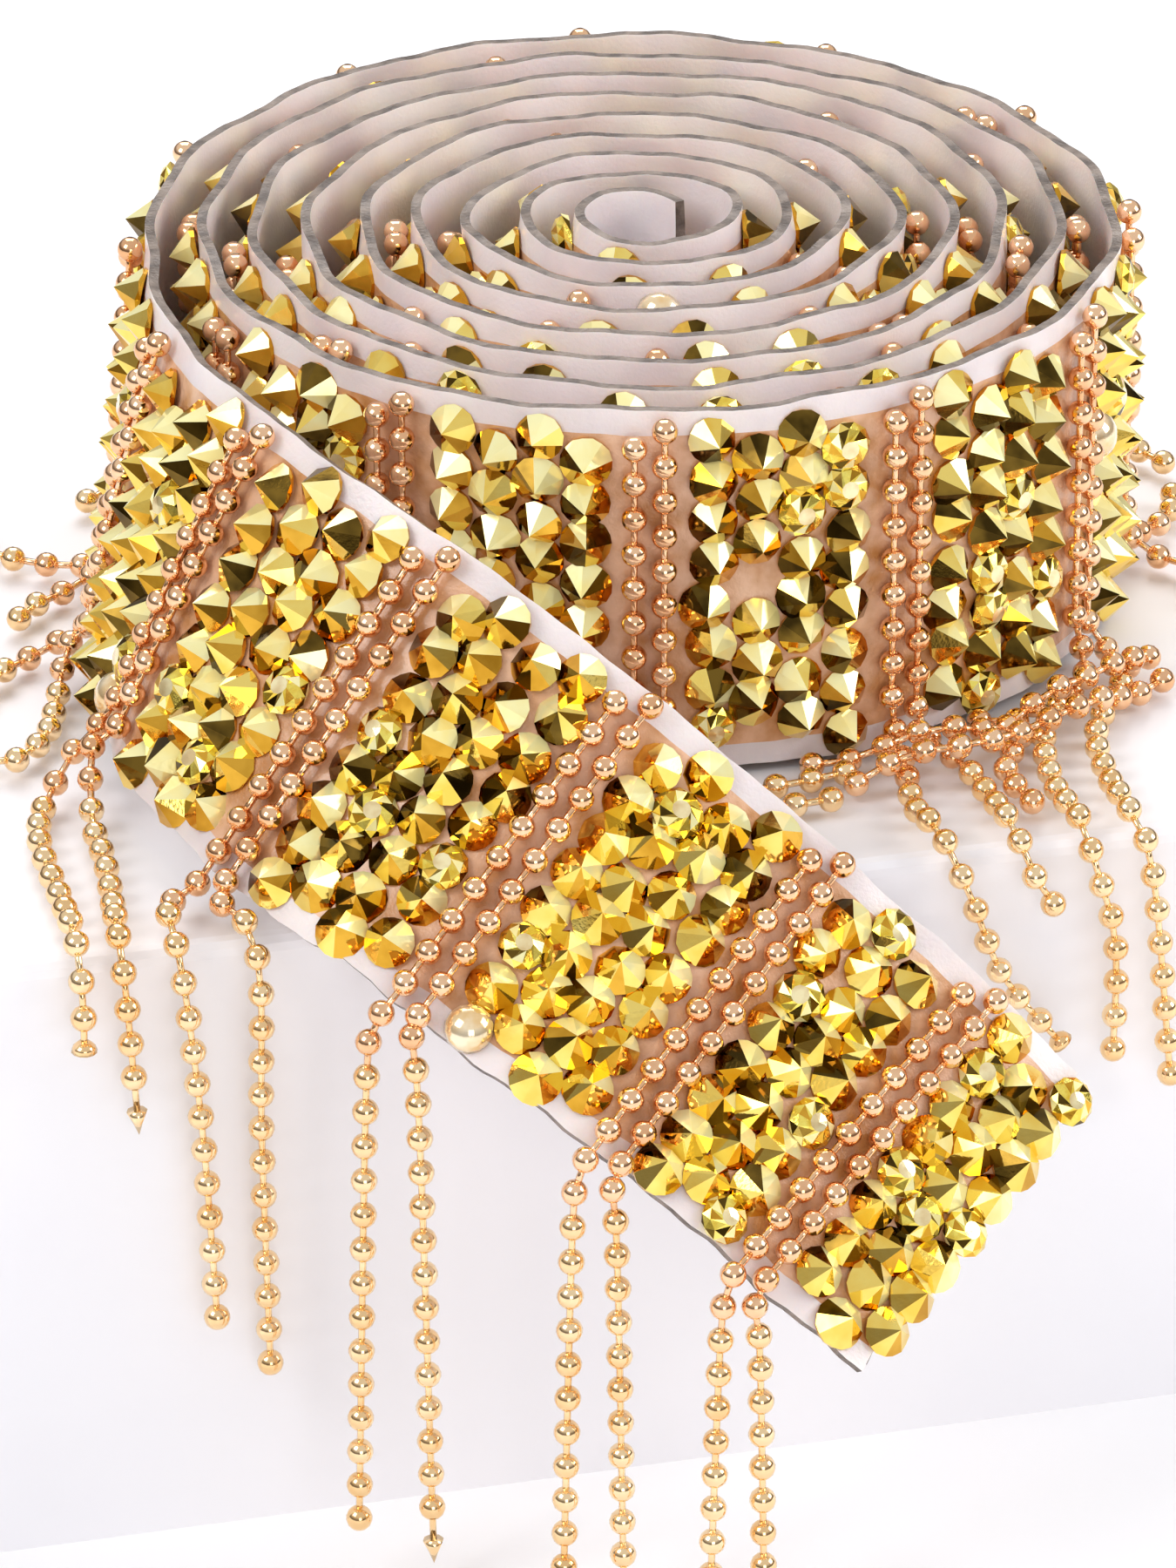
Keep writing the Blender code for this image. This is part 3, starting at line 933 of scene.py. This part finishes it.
    def _loose_way(self, row: ChainRow, strand: str, lead: float, bottom: float) -> list[np.ndarray]:
        """Finds a strand's way from the foot of its seat to its tip.

        Args:
            row: Where the pair crosses the ribbon.
            strand: "ahead" or "behind".
            lead: How far the strand runs ahead of the pair's middle.
            bottom: Where the seat ends, from the middle of the film.

        Returns:
            The points that the way goes through.
        """
        routes = self.routes
        station = self.path.at(row.low_run * MM + lead)
        if row.past_edge:
            start = station.point(bottom + routes.step_over * MM, self.ride_height)
        else:
            start = station.point(bottom + routes.step_down * MM, self.ride_height + routes.step_out * MM)
        if row.name in LAID_ENDS:
            return [start, *(self.path.on_block(*point) for point in LAID_ENDS[row.name][strand])]
        if row.name in HUNG_ENDS:
            tip = HUNG_ENDS[row.name][strand]
            below = start + np.array((tip.x / 2, tip.y / 2, -routes.hang_bend)) * MM
            end_height = self.path.block_height + tip.height * MM
            return [start, below, np.array((start[0] + tip.x * MM, start[1] + tip.y * MM, end_height))]
        way = [start]
        for along, out in TRAILING_ENDS[strand]:
            foot = self.path.at((row.low_run + along) * MM)
            point = foot.point(self.path.film_width / 2, (routes.trail_root + out) * MM)
            point[2] = self.path.block_height + routes.laid_height * MM
            way.append(point)
        return way

    def pair(self, row: ChainRow) -> bpy.types.Object:
        """Builds one pair with its loose ends.

        Args:
            row: Where the pair crosses the ribbon.

        Returns:
            The pair.
        """
        pool = MeshPool()
        routes = self.routes
        clearance = routes.edge_margin if row.past_edge else routes.foot_clearance
        bottom = self.path.film_width / 2 - clearance * MM
        strands = (("ahead", self.strand_spacing / 2, 0.0),
                   ("behind", -self.strand_spacing / 2, self.bead_pitch / 2))
        for strand, lead, shift in strands:
            seat = self._seat_way(row, lead, bottom, shift)
            loose = self._loose_way(row, strand, lead, bottom)
            way = seat[:-1] + smooth_way([seat[-1], *loose], self.way_step)
            end = ODD_ENDS.get((row.name, strand), StrandEnd.BEAD)
            self._string(pool, way, end, self.bead, self.path.film_width * self.copper_share)
        materials = [self.finishes.copper.make(), self.finishes.brass.make()]
        return pool.build(f"bead_chain_{row.name}", materials, smooth=True)

    def inner_pairs(self) -> bpy.types.Object:
        """Builds the pairs of all inner turns as one piece.

        Returns:
            The piece.
        """
        pool = MeshPool()
        bottom = self.path.film_width / 2 - self.routes.foot_clearance * MM
        for row in self.routes.inner_rows(self.path.first_run):
            for side in (-1, 1):
                wander = self.randomness.uniform(-self.strand_wander, self.strand_wander)
                lead = side * self.strand_spacing / 2 + wander
                shift = self.randomness.uniform(0.0, self.bead_pitch)
                way = self._seat_way(row, lead, bottom, shift)
                self._string(pool, way, StrandEnd.BEAD, self.inner_bead)
        return pool.build("bead_chains_inner", [self.finishes.copper.make()], smooth=True)

    def foot_strands(self) -> bpy.types.Object:
        """Builds the loose strands that lie heaped along the roll's foot as one piece.

        Returns:
            The piece.
        """
        pool = MeshPool()
        for points in HEAPED_ENDS:
            way = smooth_way([self.path.on_block(*point) for point in points], self.way_step)
            self._string(pool, way, StrandEnd.BEAD, self.bead)
        return pool.build("bead_chains_heaped", [self.finishes.copper.make()], smooth=True)


@dataclass
class StoneBed:
    """The stones: mostly pointed cones, with brilliants, pearls and a few empty places among them."""

    path: RibbonPath
    routes: ChainRoutes
    finishes: Finishes
    stone_radius: float = 2.46 * MM
    foot_share: float = 0.95
    rim_height: float = 0.55 * MM
    cone_height: float = 3.0 * MM
    brilliant_rings: tuple[Triple, ...] = (
        (0.9, 0.0, 0.0), (1.0, 0.7 * MM, 0.5), (0.8, 1.3 * MM, 0.0), (0.36, 1.8 * MM, 0.5))
    brilliant_sides: int = 11
    brilliant_height: float = 1.85 * MM
    # Stride through the cycle of crystal facets and painted glints.
    painted_glint_stride: int = 5
    pearl_bands: tuple[float, ...] = (0.0, 0.35, 0.7, 1.05, 1.35)
    pearl_sides: int = 14
    pearl_foot: float = 0.2 * MM
    pearl_flattened: float = 0.8
    top_clearance: float = 3.2 * MM
    low_clearance: float = 2.6 * MM
    column_pitch: float = 4.3 * MM
    column_room: float = 4.6 * MM
    chain_width: float = 5.7 * MM
    rows_across: int = 8
    last_overhang: float = 1.4 * MM
    seat_height: float = 0.42 * MM
    deepest_seat: float = -0.1 * MM
    highest_seat: float = 0.15 * MM
    tilt: float = math.radians(5)
    # Spread of the stones' turn, kept small so that the painted lit and shaded sides of the cones face about
    # the same way.
    turn_spread: float = 0.42
    wander: float = 0.22 * MM
    smallest: float = 0.95
    largest: float = 1.03
    # Runs of the ribbon where most cones take the mostly lit tables: painted light where the lamps fall
    # brightest.
    painted_lit_runs: tuple[tuple[float, float], ...] = (
        (98 * MM, 160 * MM), (-10 * MM, 30 * MM), (-150 * MM, -95 * MM))
    painted_lit_share: float = 0.75
    brilliant_share: float = 0.12
    pearl_share: float = 0.012
    empty_share: float = 0.005
    # Facet tables of the cones, one letter a facet. The first set paints a lit side and a shaded side, and
    # the second paints mostly lit facets.
    painted_light_and_shade_tones: tuple[str, ...] = (
        "accddgga", "ccddggaa", "cccdggga", "gccadgaa", "ggccddga", "dcgddggd")
    painted_lit_tones: tuple[str, ...] = ("gccgggga", "cccdgggg", "gcggggag")
    randomness: random.Random = field(default_factory=lambda: random.Random(5))
    pool: MeshPool = field(default_factory=MeshPool)

    def __post_init__(self) -> None:
        """Makes the shapes of the stones."""
        self.shapes = {StoneCut.BRILLIANT: self._brilliant(), StoneCut.PEARL: self._pearl()}
        self.painted_light_and_shade_cones = [self._cone(tones) for tones in self.painted_light_and_shade_tones]
        self.painted_lit = [self._cone(tones) for tones in self.painted_lit_tones]

    def _brilliant(self) -> Shape:
        """Builds a cut crystal with a small table.

        Returns:
            The crystal, with painted highlights, painted shade and painted dark reflections strewn over its
            sides.
        """
        crystal, radius = StoneSlot.CRYSTAL, self.stone_radius
        rings = [(radius * share, height, turned) for share, height, turned in self.brilliant_rings]
        # The top fan is the table, in a paler finish that is a painted highlight.
        slot_rows = [crystal] * (len(rings) - 1) + [StoneSlot.TABLE]
        plain = stacked_rings(rings, self.brilliant_sides, slot_rows, self.brilliant_height)
        # Crystal facets mixed with painted glints: painted highlight, painted shade and painted dark
        # reflection facets.
        crystal_and_painted_glints = (crystal, StoneSlot.CREAM, crystal, StoneSlot.AMBER, crystal, crystal, StoneSlot.GOLD,
                   StoneSlot.DARK)
        slots = []
        for index, slot in enumerate(plain.slots):
            tone = crystal_and_painted_glints[index * self.painted_glint_stride % len(crystal_and_painted_glints)]
            slots.append(tone if slot == crystal else slot)
        return Shape(plain.points, plain.faces, slots)

    def _pearl(self) -> Shape:
        """Builds a domed pearl.

        Returns:
            The pearl.
        """
        width, height = self.stone_radius, self.stone_radius * self.pearl_flattened
        rings = [(width * math.cos(band), self.pearl_foot + height * math.sin(band), 0.0)
                 for band in self.pearl_bands]
        slot_rows = [StoneSlot.PEARL] * len(rings)
        return stacked_rings(rings, self.pearl_sides, slot_rows, self.pearl_foot + height)

    def _cone(self, tones: str) -> Shape:
        """Builds a cone with flat facets over a round rim in deeper gold, which is painted shade.

        Args:
            tones: The letter of each facet: painted highlight, the stone's own gold, painted shade or painted
                dark reflection.

        Returns:
            The cone. Each facet's foot dips between its corners, so that its edge follows the rim.
        """
        facets = len(tones)
        around = 2 * facets
        dip = self.cone_height - (self.cone_height - self.rim_height) / math.cos(math.pi / facets)
        foot_radius = self.stone_radius * self.foot_share
        rings = ((foot_radius, (0.0, 0.0)), (self.stone_radius, (self.rim_height, dip)))
        points = []
        for radius, heights in rings:
            for index in range(around):
                angle = math.pi * index / facets
                points.append((radius * math.cos(angle), radius * math.sin(angle), heights[index % 2]))
        points.append((0.0, 0.0, self.cone_height))
        faces: list[tuple[int, ...]] = [tuple(reversed(range(around)))]
        for index in range(around):
            following = (index + 1) % around
            faces.append((index, following, around + following, around + index))
        for facet in range(facets):
            corner = around + 2 * facet
            faces.append((corner, corner + 1, around + (2 * facet + 2) % around, 2 * around))
        # The rim is painted shade in deeper gold all round.
        rim = [StoneSlot.AMBER] * (around + 1)
        return Shape(np.array(points), faces, rim + [FACET_TONES[tone] for tone in tones])

    def _lines(self) -> np.ndarray:
        """Lists the lines between which stones are set.

        Returns:
            The top and low runs of every row of chain and of both ends, in their order.
        """
        first = self.path.first_run
        last = self.path.last_run + self.last_overhang + self.chain_width / 2
        rows = self.routes.rows() + self.routes.inner_rows(first)
        lines = sorted((row.top_run * MM, row.low_run * MM) for row in rows)
        return np.array([(first, first), *lines, (last, last)])

    def _choose(self) -> StoneCut | None:
        """Draws the cut of the next stone.

        Returns:
            The cut, or none for an empty place.
        """
        draw = self.randomness.random()
        if draw < self.empty_share:
            return None
        if draw < self.empty_share + self.pearl_share:
            return StoneCut.PEARL
        if draw < self.empty_share + self.pearl_share + self.brilliant_share:
            return StoneCut.BRILLIANT
        return StoneCut.CONE

    def _set(self, cut: StoneCut, run: float, across: float) -> None:
        """Sets one stone on the film, turned and tilted at random.

        Args:
            cut: Its cut.
            run: Distance along the ribbon.
            across: Distance across the film from its middle.
        """
        draw = self.randomness
        station = self.path.at(run)
        # The turn stays small, so that the painted lit and shaded sides of the cones all face about the same
        # way.
        turn = draw.gauss(0, self.turn_spread)
        lean_along, lean_down = draw.gauss(0, self.tilt), draw.gauss(0, self.tilt)
        lean = station.along * math.tan(lean_along) + station.down * math.tan(lean_down)
        up = unit(station.outward + lean)
        heading = station.along * math.cos(turn) + station.down * math.sin(turn)
        side = unit(heading - up * float(up @ heading))
        axes = np.stack((side, np.cross(up, side), up))
        size = draw.uniform(self.smallest, self.largest)
        # In the painted lit runs most cones take the mostly lit tables. Elsewhere they take the tables with
        # painted shade.
        in_painted_lit_run = any(start < run < stop for start, stop in self.painted_lit_runs)
        painted_lit = in_painted_lit_run and draw.random() < self.painted_lit_share
        if cut is StoneCut.CONE:
            shape = draw.choice(self.painted_lit if painted_lit else self.painted_light_and_shade_cones)
        else:
            shape = self.shapes[cut]
        seat = self.seat_height + draw.uniform(self.deepest_seat, self.highest_seat)
        self.pool.add(shape._replace(points=shape.points * size @ axes + station.point(across, seat)))

    def _fill_gap(self, before: np.ndarray, after: np.ndarray, started: int) -> int:
        """Fills the space between two lines with columns of stones.

        Args:
            before: The earlier line's top and low runs.
            after: The later line's top and low runs.
            started: The number of columns laid before.

        Returns:
            The number of columns laid.
        """
        room = float(np.mean(after - before)) - self.chain_width
        columns = max(1, round(room / self.column_room))
        top = self.top_clearance - self.path.film_width / 2
        pitch = (self.path.film_width - self.top_clearance - self.low_clearance) / (self.rows_across - 0.5)
        for column in range(columns):
            odd = (started + column) % 2
            for row in range(self.rows_across):
                across = top + (row + odd / 2) * pitch + self.randomness.gauss(0, self.wander)
                share = across / self.path.film_width + 0.5
                start = before[0] * (1 - share) + before[1] * share
                stop = after[0] * (1 - share) + after[1] * share
                step = min(self.column_pitch, (stop - start - self.chain_width) / columns)
                run = (start + stop) / 2 + (column - (columns - 1) / 2) * step
                run += self.randomness.gauss(0, self.wander)
                cut = self._choose()
                if cut is not None:
                    self._set(cut, min(run, self.path.last_run), across)
        return columns

    def build(self) -> bpy.types.Object:
        """Sets all the stones.

        Returns:
            The stones as one piece.
        """
        lines = self._lines()
        laid = 0
        for before, after in zip(lines, lines[1:]):
            laid += self._fill_gap(before, after, laid)
        looks = self.finishes
        finishes = (looks.cream, looks.gold, looks.amber, looks.dark, looks.crystal, looks.table, looks.pearl)
        materials = [finish.make() for finish in finishes]
        return self.pool.build("ribbon_stones", materials, smooth=False, rounded_slot=StoneSlot.PEARL)


def dress_block(board: Finish) -> None:
    """Gives the display block's solid its finish.

    Args:
        board: The finish.
    """
    materials = bpy.data.objects["display_block"].data.materials
    materials.clear()
    materials.append(board.make())


class Lamp(NamedTuple):
    """A square soft light: its name, place, side and power in watts."""

    name: str
    spot: Triple
    size: float
    power: float


@dataclass
class Studio:
    """Floor, lights, surroundings and camera."""

    finishes: Finishes
    aim: Triple = (-7.6 * MM, -41.3 * MM, 62 * MM)
    azimuth: float = math.radians(-14.6)
    elevation: float = math.radians(27.0)
    distance: float = 0.9
    lens: float = 217.8
    clip_end: float = 20.0
    floor_size: float = 6.0
    lamps: tuple[Lamp, ...] = (
        Lamp("key_left", (-0.75, -0.3, 0.75), 0.5, 3.6),
        Lamp("fill_right", (0.8, -0.3, 0.5), 0.45, 3.4),
        Lamp("back_top", (0.1, 0.7, 0.9), 0.7, 4.8),
        Lamp("front_low", (-0.1, -1.3, 0.35), 0.5, 2.2),
    )
    air_shades: tuple[tuple[float, Triple], ...] = (
        (0.02, (0.16, 0.13, 0.11)),
        (0.24, (0.42, 0.4, 0.4)),
        (0.5, (1.0, 1.0, 1.03)),
    )
    air_strength: float = 0.75

    def floor(self) -> None:
        """Lays the pale floor."""
        half = self.floor_size / 2
        corners = np.array([(-half, -half, 0), (half, -half, 0), (half, half, 0), (-half, half, 0)], float)
        pool = MeshPool()
        pool.add(Shape(corners, [(0, 1, 2, 3)], [0]))
        pool.build("studio_floor", [self.finishes.floor.make()], smooth=False)

    def lights(self) -> None:
        """Hangs the lights, all facing the ribbon."""
        for lamp in self.lamps:
            light = bpy.data.lights.new(lamp.name, "AREA")
            light.shape = "SQUARE"
            light.size = lamp.size
            light.energy = lamp.power
            hung = bpy.data.objects.new(lamp.name, light)
            hung.location = lamp.spot
            facing = Vector(self.aim) - Vector(lamp.spot)
            hung.rotation_euler = facing.to_track_quat("-Z", "Y").to_euler()
            bpy.context.collection.objects.link(hung)

    def surroundings(self) -> None:
        """Sets the air round the part: dark below, white above the horizon."""
        world = bpy.data.worlds.new("studio_air")
        world.use_nodes = True
        nodes, links = world.node_tree.nodes, world.node_tree.links
        place = nodes.new("ShaderNodeTexCoord")
        parts = nodes.new("ShaderNodeSeparateXYZ")
        shades = nodes.new("ShaderNodeValToRGB")
        ramp = shades.color_ramp
        ramp.elements.new(0.5)
        for element, (position, shade) in zip(ramp.elements, self.air_shades):
            element.position = position
            element.color = (*shade, 1.0)
        background = nodes["Background"]
        background.inputs["Strength"].default_value = self.air_strength
        links.new(place.outputs["Generated"], parts.inputs["Vector"])
        links.new(parts.outputs["Z"], shades.inputs["Fac"])
        links.new(shades.outputs["Color"], background.inputs["Color"])
        bpy.context.scene.world = world

    def camera(self) -> None:
        """Places the camera at the photograph's viewing angle."""
        level = math.cos(self.elevation)
        back = Vector((math.sin(self.azimuth) * level, -math.cos(self.azimuth) * level,
                       math.sin(self.elevation)))
        lens = bpy.data.cameras.new("photo_camera")
        lens.lens = self.lens
        lens.clip_end = self.clip_end
        camera = bpy.data.objects.new("photo_camera", lens)
        camera.location = Vector(self.aim) + back * self.distance
        camera.rotation_euler = (-back).to_track_quat("-Z", "Y").to_euler()
        bpy.context.collection.objects.link(camera)
        bpy.context.scene.camera = camera
        bpy.context.scene.view_settings.view_transform = "Standard"


def settle(piece: bpy.types.Object, node: str | None = None) -> None:
    """Ties a piece to the part's body.

    Args:
        piece: The piece.
        node: The solid that it takes the place of, if there is one.
    """
    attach(piece, "root")
    if node is not None:
        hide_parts(node)
    LOG.info("%s: %d faces", piece.name, len(piece.data.polygons))


def main() -> None:
    """Builds and dresses the ribbon, its chains and its block, and sets up the studio."""
    logging.basicConfig(level=logging.INFO, format="%(name)s: %(message)s")
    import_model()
    finishes = Finishes()
    studio = Studio(finishes)
    studio.camera()
    path = RibbonPath()
    routes = ChainRoutes()

    film = FilmSheet(path, finishes).build()
    settle(film, "ribbon")
    stones = StoneBed(path, routes, finishes).build()
    settle(stones)

    chain = BallChain(path, routes, finishes)
    for row in routes.rows():
        pair = chain.pair(row)
        settle(pair, f"chain_{row.name}")
    inner = chain.inner_pairs()
    settle(inner)
    settle(chain.foot_strands())

    dress_block(finishes.board)
    studio.floor()
    studio.lights()
    studio.surroundings()


if __name__ == "__main__":
    main()
